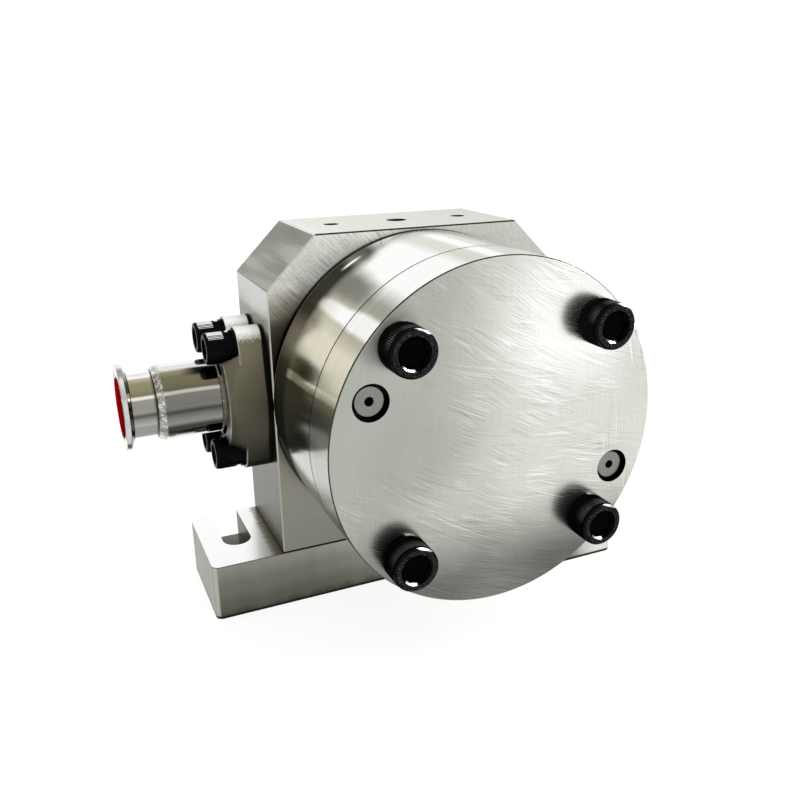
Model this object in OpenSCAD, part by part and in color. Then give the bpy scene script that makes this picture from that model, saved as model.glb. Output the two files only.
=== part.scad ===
// External gear pump on a screwed-down base plate: a chamfered pump block holds two meshing spur gears
// between a round bearing drum with its cover in front and a round bearing housing behind.
// The origin is on the ground under the middle of the block. The cover faces -Y, the drive shaft
// leaves along +Y, the inlet is at -X and the outlet at +X.

/* [Base plate] */
// Reach of the base beyond the block on the left
ledge_left = 43; // [38:0.5:60]
// Reach of the base beyond the block on the right
ledge_right = 36; // [34:0.5:60]
// Thickness of the base
base_h = 35; // [28:1:45]
// Radius of the upright corners of the base
base_corner_r = 4; // [2:0.5:6]
// Width of the two foot counterbores, which are milled open to the rear
slot_w = 17.5; // [16:0.5:18]
// Reach of a foot counterbore from the rear edge to its round end
slot_reach = 47.5; // [30:0.5:52]
// Thickness of the base under a foot counterbore
foot_floor_t = 17.5; // [14:0.5:20]
// Thread size of the foot screws
foot_screw_d = 10; // [8:1:10]
// Reach of the front toe under the drum
toe_reach = 30.5; // [20:0.5:40]
// Width of the front toe
toe_w = 88; // [60:1:100]

/* [Pump block] */
// Depth of the block, which is also the depth of the gear chamber
block_d = 70; // [66:1:80]
// Height of the block above the pump axis
block_above = 95; // [92:1:105]
// Width and height of the two slanted top corners
block_chamfer = 29; // [10:1:32]
// Broken edge all round the block
edge_break = 0.8; // [0.3:0.1:1.5]
// Gap between the drum and the toe of the base below it
drum_lift = 1.5; // [1:0.5:8]

/* [Drum and cover] */
// Overhang of the drum beyond each side of the block
drum_overhang = 1; // [0.5:0.1:2]
// Length of the bearing drum
drum_len = 68.5; // [62:0.5:90]
// Rounding of the drum's edge where it meets the block
drum_rounding = 4.5; // [1:0.5:6]
// Thickness of the front cover
cover_t = 29.5; // [24:0.5:40]
// Chamfer of the cover's edges
cover_chamfer = 0.8; // [0.4:0.1:1.5]
// Distance of the cover screws from the rim of the cover
cover_screw_edge = 15.3; // [13.5:0.1:17]
// Thread size of the cover screws
cover_screw_d = 16; // [14:1:16]
// Distance of the dowel pins from the rim of the cover
dowel_edge = 16.5; // [13.5:0.1:17.5]
// Diameter of the dowel pins
dowel_d = 16; // [12:1:16]
// Angle of the dowel pins above and below the horizontal
dowel_angle = 22.5; // [20:0.5:25]
// Diameter of the recess round a dowel pin's face
dowel_recess_d = 19.2; // [18:0.2:21]
// Depth of a dowel pin's face below the cover's face
dowel_sink = 2.5; // [1:0.5:6]

/* [Gears] */
// Module of both gears
gear_module = 4; // [3.7:0.1:4.1]
// Number of teeth of each gear
gear_teeth = 14; // [14:1:14]
// Pressure angle of the teeth
pressure_angle = 20; // [20:0.5:22]
// Play between the flanks of meshing teeth
backlash = 0.24; // [0.15:0.01:0.4]

/* [Shafts and bushes] */
// Diameter of both shafts in their bushes
shaft_d = 30; // [26:1:31]
// Wall of a bush
bush_wall = 5; // [3:0.5:6]
// Length of a bush
bush_len = 50; // [40:1:55]
// Diameter of the drive shaft's free end
shaft_end_d = 28; // [22:1:28]
// Length of the drive shaft's free end
shaft_end_len = 50; // [35:1:80]
// Width of the keys
key_w = 8; // [6:1:8]
// Height of the keys
key_h = 7; // [6:1:7]

/* [Rear housing and seal] */
// Distance of the rear housing's screws from the rim of its flange
rear_screw_edge = 11; // [10:0.5:13]
// Thickness of the rear bearing housing's flange
rear_flange_t = 22; // [16:1:30]
// Gap between the rear housing's screw heads and its body
rear_head_gap = 3; // [2:0.5:4]
// Thread size of the rear housing screws
rear_screw_d = 12; // [10:1:12]
// Outer diameter of the shaft seals
seal_d = 47; // [42:1:50]
// Width of one shaft seal
seal_w = 8; // [6:1:10]
// Distance of the gland's rim from the shaft seal's bore
gland_wall = 11.5; // [10.5:0.5:12]
// Thickness of the seal gland
gland_t = 12; // [9:1:16]

/* [Ports] */
// Bore of the ports from the ferrule to the gears
port_bore_d = 36; // [30:1:37]
// Spacing of the port flange screws up and down
port_pitch_z = 64; // [62:0.5:68]
// Spacing of the port flange screws front to back
port_pitch_y = 28; // [27:0.5:32]
// Thread size of the port flange screws
port_screw_d = 12; // [10:1:12]
// Thickness of the port flange under its screws
port_lug_t = 15.5; // [12:0.5:20]
// Height of the raised hub on the port flange
port_hub_rise = 9; // [5:0.5:12]
// Radius of the port flange's round middle
port_mid_r = 34.5; // [33:0.5:34.9]
// Radius of the port flange's four lobes
port_lobe_r = 11; // [10.5:0.1:12]
// Outer diameter of the port pipe
pipe_d = 44.4; // [42:0.2:48]
// Length of the port pipe between the flange and its tapered weld
pipe_len = 32; // [24:0.5:60]
// Length of the tapered weld
taper_len = 5; // [3:0.5:8]
// Outer diameter of the ferrule's neck
neck_d = 39.8; // [39:0.2:42]
// Length of the ferrule, neck and rim
ferrule_len = 18.5; // [15:0.5:30]
// Outer diameter of the ferrule's clamp rim
rim_d = 50.5; // [49:0.1:52]
// Thickness of the clamp rim at its edge
rim_t = 2.9; // [2:0.1:4]

/* [Top holes] */
// Spacing of the two outer tapped holes on top
top_pitch = 84; // [70:1:96]
// Bore of the outer tapped holes
top_hole_d = 8.5; // [6.8:0.1:10.2]
// Depth of the outer tapped holes
top_hole_depth = 18; // [10:1:20]
// Bore of the middle tapped hole
top_mid_d = 11.8; // [10:0.1:14]
// Depth of the middle tapped hole
top_mid_depth = 22; // [12:1:24]

/* [Clearances] */
// Gap between a gear's tips and its chamber
tip_gap = 0.3; // [0.2:0.05:0.5]
// Gap between a gear's side and the chamber's ends
side_gap = 0.3; // [0.2:0.05:0.5]
// Radial gap between a shaft and its bush
run_gap = 0.05; // [0.03:0.01:0.08]
// Radial gap of pieces that sit in a bore
seat_gap = 0.05; // [0.02:0.01:0.1]
// Radial gap round a screw in its clearance hole
screw_gap = 0.75; // [0.5:0.05:1]
// Section of the round seal rings
ring_d = 3; // [2.4:0.2:3.2]
// Play of a seal ring in the width of its groove
ring_play = 0.8; // [0.6:0.1:1]
// Land between the gear chamber and the seal ring's groove
seal_land = 2.7; // [2:0.1:4]
// Land between the seal ring's groove and the cover's screw holes
cover_screw_land = 2.65; // [2:0.05:4]
// Land between the seal ring's groove and the rear housing's screw holes
rear_screw_land = 2.95; // [2:0.05:4]

/* [Hidden] */
$fn = 96;

// Small amount by which a cut runs past the face it opens
cut = 1;

// Gears
gear_pitch_r = gear_module * gear_teeth / 2;
gear_tip_r = gear_pitch_r + gear_module;
gear_root_r = gear_pitch_r - 1.25 * gear_module;
gear_base_r = gear_pitch_r * cos(pressure_angle);
gear_w = block_d - 2 * side_gap;
chamber_r = gear_tip_r + tip_gap;

// Seal rings round the gear chamber, screw circles round them, and the round housings round those
groove_depth = ring_d + 0.05;
groove_w = ring_d + ring_play;
seal_ring_r = gear_pitch_r + chamber_r + seal_land + groove_w / 2;
cover_pcd = 2 * (seal_ring_r + groove_w / 2 + cover_screw_land + screw_gap) + cover_screw_d;
rear_pcd = 2 * (seal_ring_r + groove_w / 2 + rear_screw_land + screw_gap) + rear_screw_d;
drum_d = cover_pcd + 2 * cover_screw_edge;
dowel_pcd = drum_d - 2 * dowel_edge;
rear_d = rear_pcd + 2 * rear_screw_edge;

// Main places
block_w = drum_d - 2 * drum_overhang;
base_left = block_w / 2 + ledge_left;
base_right = block_w / 2 + ledge_right;
axis_z = base_h + drum_lift + drum_d / 2;
drive_z = axis_z + gear_pitch_r;
driven_z = axis_z - gear_pitch_r;
block_top_z = axis_z + block_above;
block_h = block_top_z - base_h;
front_y = -block_d / 2;
rear_y = block_d / 2;
drum_front_y = front_y - drum_len;
cover_front_y = drum_front_y - cover_t;

// Shafts, bushes and keys
bush_d = shaft_d + 2 * run_gap + 2 * bush_wall;
journal_len = bush_len - 4;
gear_key_len = 0.6 * gear_w;
key_sink = 0.57 * key_h;
key_play = 0.1;
end_key_turn = 22.5;

// Screw proportions of socket head cap screws
head_ratio = 1.5;
hex_ratio = 0.83;
hex_depth_ratio = 0.5;

// Rear housing
seal_count = 2;
seal_depth = seal_count * seal_w + 0.5;
seal_web = 3;
rear_t = bush_len + seal_web + seal_depth;
rear_end_y = rear_y + rear_t;
gland_end_y = rear_end_y + gland_t;
shaft_shoulder = 3;
rear_chamfer = 1.2;
rear_body_d = rear_pcd - head_ratio * rear_screw_d - 2 * rear_head_gap;
gland_screw_d = 6;
gland_d = seal_d + 2 * gland_wall;
gland_pcd = (gland_d + seal_d) / 2 + 1.5;
gland_screw_reach = 14;

// Screw lengths
cover_thread = 2.3 * cover_screw_d;
port_thread = 1.5 * port_screw_d;
rear_thread = 1.4 * rear_screw_d;
base_screw_d = 12;
base_screw_x = block_w / 2 - 32.5;
base_screw_y = block_d / 2 - 15;
base_thread = 1.6 * base_screw_d;
base_head_sink = base_screw_d + 1;
dowel_reach = 12;

// Ports
port_face_x = block_w / 2;
lug_x = port_face_x + port_lug_t;
hub_x = lug_x + port_hub_rise;
taper_x = hub_x + pipe_len;
neck_x = taper_x + taper_len;
ferrule_x = neck_x + ferrule_len;
hub_top_r = 33;
hub_foot_r = 37.5;
port_valley_r = 6;
spring_washer_t = 3;
flat_washer_t = 2;
port_head_x = lug_x + spring_washer_t + flat_washer_t;
port_ring_r = port_bore_d / 2 + ring_d + 1;
plug_len = 14;
plug_wall = 1.6;
plug_crown = 0.6;
plug_gap = 0.08;

steel = [0.72, 0.71, 0.68];
satin = [0.62, 0.61, 0.58];
polished = [0.82, 0.82, 0.8];
black = [0.06, 0.06, 0.06];
bronze = [0.72, 0.5, 0.25];
red = [0.72, 0.03, 0.03];
hard_steel = [0.55, 0.56, 0.58];

function arc(cx, cy, r, a0, a1, n) =
    [for (i = [0:n]) let (a = a0 + (a1 - a0) * i / n) [cx + r * cos(a), cy + r * sin(a)]];

// Turns what stands along +Z so that it lies along +Y, and starts it at the height z
module along_y(y, z = 0, x = 0) {
    translate([x, y, z]) rotate([-90, 0, 0]) children();
}

// Turns what stands along +Z so that it lies along +X
module along_x(x, y = 0, z = 0) {
    translate([x, y, z]) rotate([0, 90, 0]) children();
}

// Places the children at equal angles on a pitch circle round the pump axis
module on_circle(pcd, angles, y) {
    for (a = angles)
        along_y(y, axis_z + pcd / 2 * sin(a), pcd / 2 * cos(a)) children();
}

// Mirrors a port piece to the inlet side
module port_side(side) {
    if (side == "inlet") mirror([1, 0, 0]) children();
    else children();
}

module ring(outer_d, inner_d, h) {
    difference() {
        cylinder(d = outer_d, h = h);
        translate([0, 0, -cut]) cylinder(d = inner_d, h = h + 2 * cut);
    }
}

// Round seal ring lying in the plane z = 0, seated from z = 0 up to its section
module seal_ring(r) {
    rotate_extrude() translate([r, ring_d / 2]) circle(d = ring_d, $fn = 32);
}

module ring_groove(r) {
    translate([0, 0, -cut]) ring(2 * r + groove_w, 2 * r - groove_w, groove_depth + cut);
}

// Socket head cap screw: bearing face at z = 0, head below it, thread above it
module cap_screw(d, reach) {
    head_r = head_ratio * d / 2;
    rim = 0.06 * d;
    hex_d = hex_ratio * d / cos(30);
    mouth_r = 0.53 * d;
    mouth_t = 0.11 * d;
    difference() {
        rotate_extrude() polygon([[0, -d], [head_r - rim, -d], [head_r, -d + rim], [head_r, 0],
            [d / 2, 0], [d / 2, reach - rim], [d / 2 - rim, reach], [0, reach]]);
        translate([0, 0, -d - cut]) cylinder(d = hex_d, h = hex_depth_ratio * d + cut, $fn = 6);
        translate([0, 0, -d]) cylinder(r1 = mouth_r, r2 = mouth_r - mouth_t, h = mouth_t);
        translate([0, 0, -d - cut]) cylinder(r = mouth_r, h = cut);
    }
}

// Hole for a screw: clear hole of the given length, then the tapped hole
module screw_hole(d, clear_len, thread_len) {
    if (clear_len > 0) translate([0, 0, -cut]) cylinder(d = d + 2 * screw_gap, h = clear_len + cut);
    translate([0, 0, clear_len - cut]) cylinder(d = d + 2 * seat_gap, h = thread_len + cut);
}

screw_angles = [45, 135, 225, 315];
dowel_angles = [180 - dowel_angle, -dowel_angle];
gland_angles = [45, 135, 225, 315];

// Base plate

foot_left_x = -(base_left + block_w / 2) / 2;
foot_right_x = (base_right + block_w / 2) / 2;

foot_hole_y = rear_y - slot_reach + slot_w / 2;

// Hole for a foot screw and the open counterbore for its head
module foot_hole(x) {
    translate([x, foot_hole_y, -cut]) cylinder(d = foot_screw_d + 1, h = base_h);
    translate([x, foot_hole_y, foot_floor_t]) {
        cylinder(d = slot_w, h = base_h);
        translate([-slot_w / 2, 0, 0]) cube([slot_w, rear_y - foot_hole_y + cut, base_h]);
    }
}

module base_outline() {
    r = base_corner_r;
    left = -base_left;
    right = base_right;
    front = front_y - toe_reach;
    toe_x = base_right - toe_w;
    polygon(concat(
        arc(left + r, rear_y - r, r, 180, 90, 8),
        arc(right - r, rear_y - r, r, 90, 0, 8),
        arc(right - r, front + r, r, 0, -90, 8),
        arc(toe_x + r, front + r, r, -90, -180, 8),
        arc(toe_x - r, front_y - r, r, 0, 90, 8),
        arc(left + r, front_y + r, r, 270, 180, 8)));
}

module at_base_screws() {
    for (x = [-base_screw_x, base_screw_x], y = [-base_screw_y, base_screw_y])
        translate([x, y, 0]) children();
}

module base_plate() {
    color(steel) difference() {
        linear_extrude(base_h) base_outline();
        foot_hole(foot_left_x);
        foot_hole(foot_right_x);
        at_base_screws() {
            translate([0, 0, -cut]) cylinder(d = head_ratio * base_screw_d + 2, h = base_head_sink + cut);
            translate([0, 0, -cut]) cylinder(d = base_screw_d + 2 * screw_gap, h = base_h + 2 * cut);
        }
    }
}

module base_screws() {
    color(black) at_base_screws() translate([0, 0, base_head_sink])
        cap_screw(base_screw_d, base_h - base_head_sink + base_thread - 1);
}

// Pump block

module block_front_view() {
    w = block_w / 2;
    e = edge_break;
    c = block_chamfer;
    s = e / sqrt(2);
    half = [[w - e, base_h], [w, base_h + e], [w, block_top_z - c - e], [w - s, block_top_z - c + s],
        [w - c + s, block_top_z - s], [w - c - e, block_top_z]];
    polygon(concat(half, [for (i = [len(half) - 1 : -1 : 0]) [-half[i][0], half[i][1]]]));
}

// Rectangle with its four corners broken
module broken_rect(w, h, e) {
    polygon([[-w / 2 + e, -h / 2], [w / 2 - e, -h / 2], [w / 2, -h / 2 + e], [w / 2, h / 2 - e],
        [w / 2 - e, h / 2], [-w / 2 + e, h / 2], [-w / 2, h / 2 - e], [-w / 2, -h / 2 + e]]);
}

// Face to face prism across the block whose long edges are broken, with one face at the given height
module broken_prism(width, top, len) {
    translate([-width / 2, 0, top - len / 2]) rotate([90, 0, 90])
        linear_extrude(width) broken_rect(block_d, len, edge_break);
}

module block_body() {
    slant = (block_w / 2 + block_top_z - block_chamfer) / sqrt(2);
    reach = 3 * block_w;
    intersection() {
        translate([0, rear_y, 0]) rotate([90, 0, 0]) linear_extrude(block_d) block_front_view();
        translate([0, 0, base_h]) linear_extrude(block_h) broken_rect(block_w, block_d, edge_break);
        broken_prism(block_w, block_top_z, block_h);
        rotate([0, 45, 0]) broken_prism(reach, slant, reach);
        rotate([0, -45, 0]) broken_prism(reach, slant, reach);
    }
}

module gear_chamber() {
    for (z = [drive_z, driven_z])
        along_y(front_y - cut, z) cylinder(r = chamber_r, h = block_d + 2 * cut);
}

module at_port_screws(x) {
    for (y = [-1, 1], z = [-1, 1])
        along_x(x, y * port_pitch_y / 2, axis_z + z * port_pitch_z / 2) children();
}

module pump_block() {
    chamber_side = gear_pitch_r / 2;
    color(steel) difference() {
        block_body();
        gear_chamber();
        for (side = ["inlet", "outlet"]) port_side(side) {
            along_x(chamber_side, 0, axis_z)
                cylinder(d = port_bore_d, h = port_face_x - chamber_side + cut);
            at_port_screws(port_face_x - port_thread)
                cylinder(d = port_screw_d + 2 * seat_gap, h = port_thread + cut);
        }
        on_circle(cover_pcd, screw_angles, front_y) screw_hole(cover_screw_d, 0, cover_thread);
        on_circle(dowel_pcd, dowel_angles, front_y) screw_hole(dowel_d, 0, dowel_reach);
        on_circle(rear_pcd, screw_angles, rear_y - rear_thread)
            cylinder(d = rear_screw_d + 2 * seat_gap, h = rear_thread + cut);
        at_base_screws() translate([0, 0, base_h - cut])
            cylinder(d = base_screw_d + 2 * seat_gap, h = base_thread + cut);
        for (s = [-1, 1]) translate([s * top_pitch / 2, 0, block_top_z - top_hole_depth])
            cylinder(d = top_hole_d, h = top_hole_depth + cut);
        translate([0, 0, block_top_z - top_mid_depth]) cylinder(d = top_mid_d, h = top_mid_depth + cut);
    }
}

// Drum and cover

module bearing_drum() {
    r = drum_d / 2;
    e = cover_chamfer / 2;
    balance_d = 0.6 * shaft_d;
    color(steel) difference() {
        along_y(drum_front_y, axis_z) rotate_extrude($fn = 180) polygon(concat(
            [[0, 0], [r - e, 0], [r, e]],
            arc(r - drum_rounding, drum_len - drum_rounding, drum_rounding, 0, 90, 6), [[0, drum_len]]));
        for (z = [drive_z, driven_z]) {
            along_y(front_y - bush_len, z) cylinder(d = bush_d + 2 * seat_gap, h = bush_len + cut);
            along_y(drum_front_y - cut, z) cylinder(d = balance_d, h = drum_len);
        }
        on_circle(cover_pcd, screw_angles, drum_front_y) screw_hole(cover_screw_d, drum_len + cut, 0);
        on_circle(dowel_pcd, dowel_angles, drum_front_y) screw_hole(dowel_d, 0, drum_len + cut);
        along_y(front_y, axis_z) mirror([0, 0, 1]) ring_groove(seal_ring_r);
        along_y(drum_front_y, axis_z) ring_groove(seal_ring_r);
    }
}

module front_cover() {
    r = drum_d / 2;
    c = cover_chamfer;
    color(steel) difference() {
        along_y(cover_front_y, axis_z) rotate_extrude($fn = 180) polygon([[0, 0], [r - c, 0], [r, c],
            [r, cover_t - c / 2], [r - c / 2, cover_t], [0, cover_t]]);
        on_circle(cover_pcd, screw_angles, cover_front_y) screw_hole(cover_screw_d, cover_t + cut, 0);
        on_circle(dowel_pcd, dowel_angles, cover_front_y) {
            screw_hole(dowel_d, 0, cover_t + cut);
            translate([0, 0, -cut]) cylinder(d = dowel_recess_d, h = 2 * dowel_sink + cut);
        }
    }
}

module cover_screws() {
    color(black) on_circle(cover_pcd, screw_angles, cover_front_y)
        cap_screw(cover_screw_d, cover_t + drum_len + cover_thread - 2);
}

module dowel_pins() {
    reach = cover_t + drum_len + dowel_reach - dowel_sink - 1;
    rim = 0.6;
    pull_hole_d = 0.3 * dowel_d;
    pull_hole_depth = 1.2 * dowel_d;
    color(hard_steel) on_circle(dowel_pcd, dowel_angles, cover_front_y + dowel_sink) difference() {
        rotate_extrude() polygon([[0, 0], [dowel_d / 2 - rim, 0], [dowel_d / 2, rim],
            [dowel_d / 2, reach - rim], [dowel_d / 2 - rim, reach], [0, reach]]);
        translate([0, 0, -cut]) cylinder(d = pull_hole_d, h = pull_hole_depth + cut);
    }
}

module drum_seal_ring() {
    color(black) along_y(front_y, axis_z) mirror([0, 0, 1]) seal_ring(seal_ring_r);
}

module cover_seal_ring() {
    color(black) along_y(drum_front_y, axis_z) seal_ring(seal_ring_r);
}

// Rear housing and shaft seal

module rear_housing() {
    r = rear_d / 2;
    body_r = rear_body_d / 2;
    c = rear_chamfer;
    color(steel) difference() {
        along_y(rear_y, axis_z) rotate_extrude($fn = 180) polygon(concat([[0, 0], [r, 0],
            [r, rear_flange_t - c], [r - c, rear_flange_t], [body_r + c, rear_flange_t]],
            arc(body_r + c, rear_flange_t + c, c, 270, 180, 4),
            [[body_r, rear_t - c], [body_r - c, rear_t], [0, rear_t]]));
        for (z = [drive_z, driven_z])
            along_y(rear_y - cut, z) cylinder(d = bush_d + 2 * seat_gap, h = bush_len + cut);
        along_y(rear_y, drive_z) cylinder(d = shaft_d + 2, h = rear_t);
        along_y(rear_end_y - seal_depth, drive_z) cylinder(d = seal_d + 2 * seat_gap, h = seal_depth + cut);
        on_circle(rear_pcd, screw_angles, rear_y) screw_hole(rear_screw_d, rear_flange_t + cut, 0);
        at_gland_screws(rear_end_y - gland_screw_reach)
            cylinder(d = gland_screw_d + 2 * seat_gap, h = gland_screw_reach + cut);
        along_y(rear_y, axis_z) ring_groove(seal_ring_r);
    }
}

module at_gland_screws(y) {
    for (a = gland_angles)
        along_y(y, drive_z + gland_pcd / 2 * sin(a), gland_pcd / 2 * cos(a)) children();
}

module rear_housing_screws() {
    color(black) on_circle(rear_pcd, screw_angles, rear_y + rear_flange_t) mirror([0, 0, 1])
        cap_screw(rear_screw_d, rear_flange_t + rear_thread - 1);
}

module rear_seal_ring() {
    color(black) along_y(rear_y, axis_z) seal_ring(seal_ring_r);
}

module seal_gland() {
    r = gland_d / 2;
    c = 1;
    color(satin) difference() {
        along_y(rear_end_y, drive_z) rotate_extrude() polygon([[shaft_d / 2 + 0.8, 0], [r, 0],
            [r, gland_t - c], [r - c, gland_t], [shaft_d / 2 + 0.8, gland_t]]);
        at_gland_screws(rear_end_y) screw_hole(gland_screw_d, gland_t + cut, 0);
    }
}

module gland_screws() {
    color(black) at_gland_screws(gland_end_y) mirror([0, 0, 1])
        cap_screw(gland_screw_d, gland_t + gland_screw_reach - 2);
}

module shaft_seals() {
    gap = 0.2;
    color(black) for (i = [0 : seal_count - 1])
        along_y(rear_end_y - seal_depth + gap + i * (seal_w + 0.1), drive_z)
            ring(seal_d, shaft_d + 2 * run_gap + 0.1, seal_w);
}

// Shafts, gears and keys

// Keyway cut or key along the shaft, standing on the side given by the angle
module key_bar(len, play) {
    translate([-key_w / 2 - play, shaft_d / 2 - key_sink - play, 0])
        cube([key_w + 2 * play, key_h + 2 * play, len]);
}

module gear_shaft(rear_len) {
    c = 1;
    front_len = block_d / 2 + journal_len;
    difference() {
        translate([0, 0, -front_len]) rotate_extrude() polygon([[0, 0], [shaft_d / 2 - c, 0],
            [shaft_d / 2, c], [shaft_d / 2, front_len + rear_len - c],
            [shaft_d / 2 - c, front_len + rear_len], [0, front_len + rear_len]]);
        translate([0, 0, -gear_key_len / 2]) key_bar(gear_key_len, key_play);
    }
}

module drive_shaft() {
    shoulder_y = gland_end_y + shaft_shoulder;
    c = 1;
    end_r = shaft_end_d / 2;
    end_key_len = 0.72 * shaft_end_len;
    color(hard_steel) {
        difference() {
            union() {
                along_y(0, drive_z) gear_shaft(shoulder_y);
                along_y(shoulder_y - c, drive_z) rotate_extrude() polygon([[0, 0], [end_r, 0],
                    [end_r, shaft_end_len + c], [end_r - c, shaft_end_len + 2 * c],
                    [0, shaft_end_len + 2 * c]]);
            }
            along_y(shoulder_y + (shaft_end_len - end_key_len) / 2, drive_z)
                rotate(end_key_turn) translate([-key_w / 2, -end_r - cut, 0])
                    cube([key_w, key_sink + cut, end_key_len]);
        }
    }
}

module driven_shaft() {
    color(hard_steel) along_y(0, driven_z) gear_shaft(block_d / 2 + journal_len);
}

// Angle in degrees that an involute adds at a radius, for the tooth flanks
function involute(r) =
    let (a = acos(min(1, gear_base_r / r))) tan(a) * 180 / PI - a;

// Half the tooth's angle at a radius
function half_tooth(r) =
    90 / gear_teeth - backlash / 2 / gear_pitch_r * 90 / PI
    + involute(gear_pitch_r) - involute(max(r, gear_base_r));

function tooth(middle) = let (
        steps = 7,
        radii = [for (i = [0:steps]) gear_base_r + (gear_tip_r - gear_base_r) * i / steps],
        fillet = 0.9,
        foot = half_tooth(gear_base_r))
    concat(
        [for (p = [[gear_root_r, foot + fillet / gear_root_r * 180 / PI], [gear_root_r + fillet, foot]])
            p[0] * [cos(middle - p[1]), sin(middle - p[1])]],
        [for (r = radii) r * [cos(middle - half_tooth(r)), sin(middle - half_tooth(r))]],
        [for (i = [steps:-1:0]) let (r = radii[i], a = middle + half_tooth(r)) r * [cos(a), sin(a)]],
        [for (p = [[gear_root_r + fillet, foot], [gear_root_r, foot + fillet / gear_root_r * 180 / PI]])
            p[0] * [cos(middle + p[1]), sin(middle + p[1])]]);

// Spur gear round the z axis. The first tooth stands at the given angle.
module spur_gear(first) {
    pitch_angle = 360 / gear_teeth;
    outline = [for (i = [0 : gear_teeth - 1]) each tooth(first + i * pitch_angle)];
    translate([0, 0, -gear_w / 2]) difference() {
        linear_extrude(gear_w) polygon(outline);
        translate([0, 0, -cut]) cylinder(d = shaft_d + 2 * seat_gap, h = gear_w + 2 * cut);
        translate([0, 0, -cut]) key_bar(gear_w + 2 * cut, key_play);
    }
}

module drive_gear() {
    color(hard_steel) along_y(0, drive_z) spur_gear(90);
}

module driven_gear() {
    color(hard_steel) along_y(0, driven_z) spur_gear(90 + 180 / gear_teeth);
}

module gear_key() {
    translate([0, 0, -gear_key_len / 2 + key_play]) key_bar(gear_key_len - 2 * key_play, 0);
}

module drive_gear_key() {
    color(steel) along_y(0, drive_z) gear_key();
}

module driven_gear_key() {
    color(steel) along_y(0, driven_z) gear_key();
}

module bush_pair(y) {
    for (z = [drive_z, driven_z])
        along_y(y, z) ring(bush_d, shaft_d + 2 * run_gap, bush_len - 0.2);
}

module front_bushes() {
    color(bronze) bush_pair(front_y - bush_len + 0.1);
}

module rear_bushes() {
    color(bronze) bush_pair(rear_y + 0.1);
}

// Ports: modelled for the outlet side, and mirrored to the inlet

// Strip between a lobe and the round middle, along their common outer tangent
module tangent_web() {
    d = sqrt(port_pitch_y * port_pitch_y + port_pitch_z * port_pitch_z) / 2;
    toward = atan2(port_pitch_z, port_pitch_y);
    lean = toward - acos((port_mid_r - port_lobe_r) / d);
    lobe = [port_pitch_y / 2, port_pitch_z / 2];
    n = [cos(lean), sin(lean)];
    polygon([[0, 0], port_mid_r * n, lobe + port_lobe_r * n, lobe]);
}

// Metal between the two lobes at one end of the flange, with the concave valley on top
module lobe_valley() {
    y = port_pitch_y / 2;
    z = port_pitch_z / 2;
    reach = port_lobe_r + port_valley_r;
    rise = sqrt(reach * reach - y * y);
    lean = atan2(rise, y);
    polygon(concat([[-y, z / 2], [y, z / 2], [y, z]],
        arc(0, z + rise, port_valley_r, -lean, lean - 180, 12), [[-y, z]]));
}

module flange_outline() {
    circle(r = port_mid_r);
    for (y = [0, 1], z = [0, 1]) mirror([y, 0]) mirror([0, z]) {
        tangent_web();
        translate([port_pitch_y / 2, port_pitch_z / 2]) circle(r = port_lobe_r);
    }
    for (turn = [0, 180]) rotate(turn) lobe_valley();
}

module port_flange() {
    spot_r = head_ratio * port_screw_d / 2 + 1.2;
    difference() {
        along_x(port_face_x, 0, axis_z) rotate([0, 0, 90]) intersection() {
            linear_extrude(port_lug_t + port_hub_rise) flange_outline();
            union() {
                cylinder(r = 2 * port_mid_r, h = port_lug_t);
                translate([0, 0, port_lug_t])
                    cylinder(r1 = hub_foot_r, r2 = hub_top_r, h = port_hub_rise);
            }
        }
        along_x(port_face_x - cut, 0, axis_z)
            cylinder(d = port_bore_d, h = port_lug_t + port_hub_rise + 2 * cut);
        at_port_screws(lug_x) cylinder(r = spot_r, h = port_hub_rise + cut);
        at_port_screws(port_face_x - cut)
            cylinder(d = port_screw_d + 2 * screw_gap, h = port_lug_t + 2 * cut);
        along_x(port_face_x, 0, axis_z) ring_groove(port_ring_r);
    }
}

module port_screws() {
    at_port_screws(port_head_x) mirror([0, 0, 1])
        cap_screw(port_screw_d, port_head_x - port_face_x + port_thread - 1);
}

module port_washers() {
    at_port_screws(lug_x) ring(head_ratio * port_screw_d + 1, port_screw_d + 1, flat_washer_t);
    at_port_screws(lug_x + flat_washer_t)
        ring(head_ratio * port_screw_d - 1, port_screw_d + 1, spring_washer_t);
}

module port_pipe() {
    bore_r = port_bore_d / 2;
    r = pipe_d / 2;
    bead = 2.2;
    len = pipe_len + taper_len;
    along_x(hub_x, 0, axis_z) rotate_extrude() polygon(concat([[bore_r, 0]],
        arc(r, 0, bead, 0, 90, 5),
        [[r, pipe_len], [neck_d / 2 + 0.4, len - 0.4], [neck_d / 2, len], [bore_r, len]]));
}

module port_ferrule() {
    bore_r = port_bore_d / 2;
    rim_r = rim_d / 2;
    neck_r = neck_d / 2;
    rim_back = ferrule_len - rim_t;
    slant = (rim_r - neck_r) * tan(20);
    edge = 0.6;
    groove_in = neck_r + 0.9;
    groove_out = groove_in + 2.4;
    groove_deep = 1.4;
    along_x(neck_x, 0, axis_z) rotate_extrude() polygon(concat(
        [[bore_r, 0], [neck_r, 0], [neck_r, rim_back - slant]],
        arc(rim_r - edge, rim_back + edge, edge, -70, 0, 4),
        arc(rim_r - edge, ferrule_len - edge, edge, 0, 90, 4),
        [[groove_out, ferrule_len], [groove_out - 0.5, ferrule_len - groove_deep],
            [groove_in + 0.5, ferrule_len - groove_deep], [groove_in, ferrule_len],
            [bore_r, ferrule_len]]));
}

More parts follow.
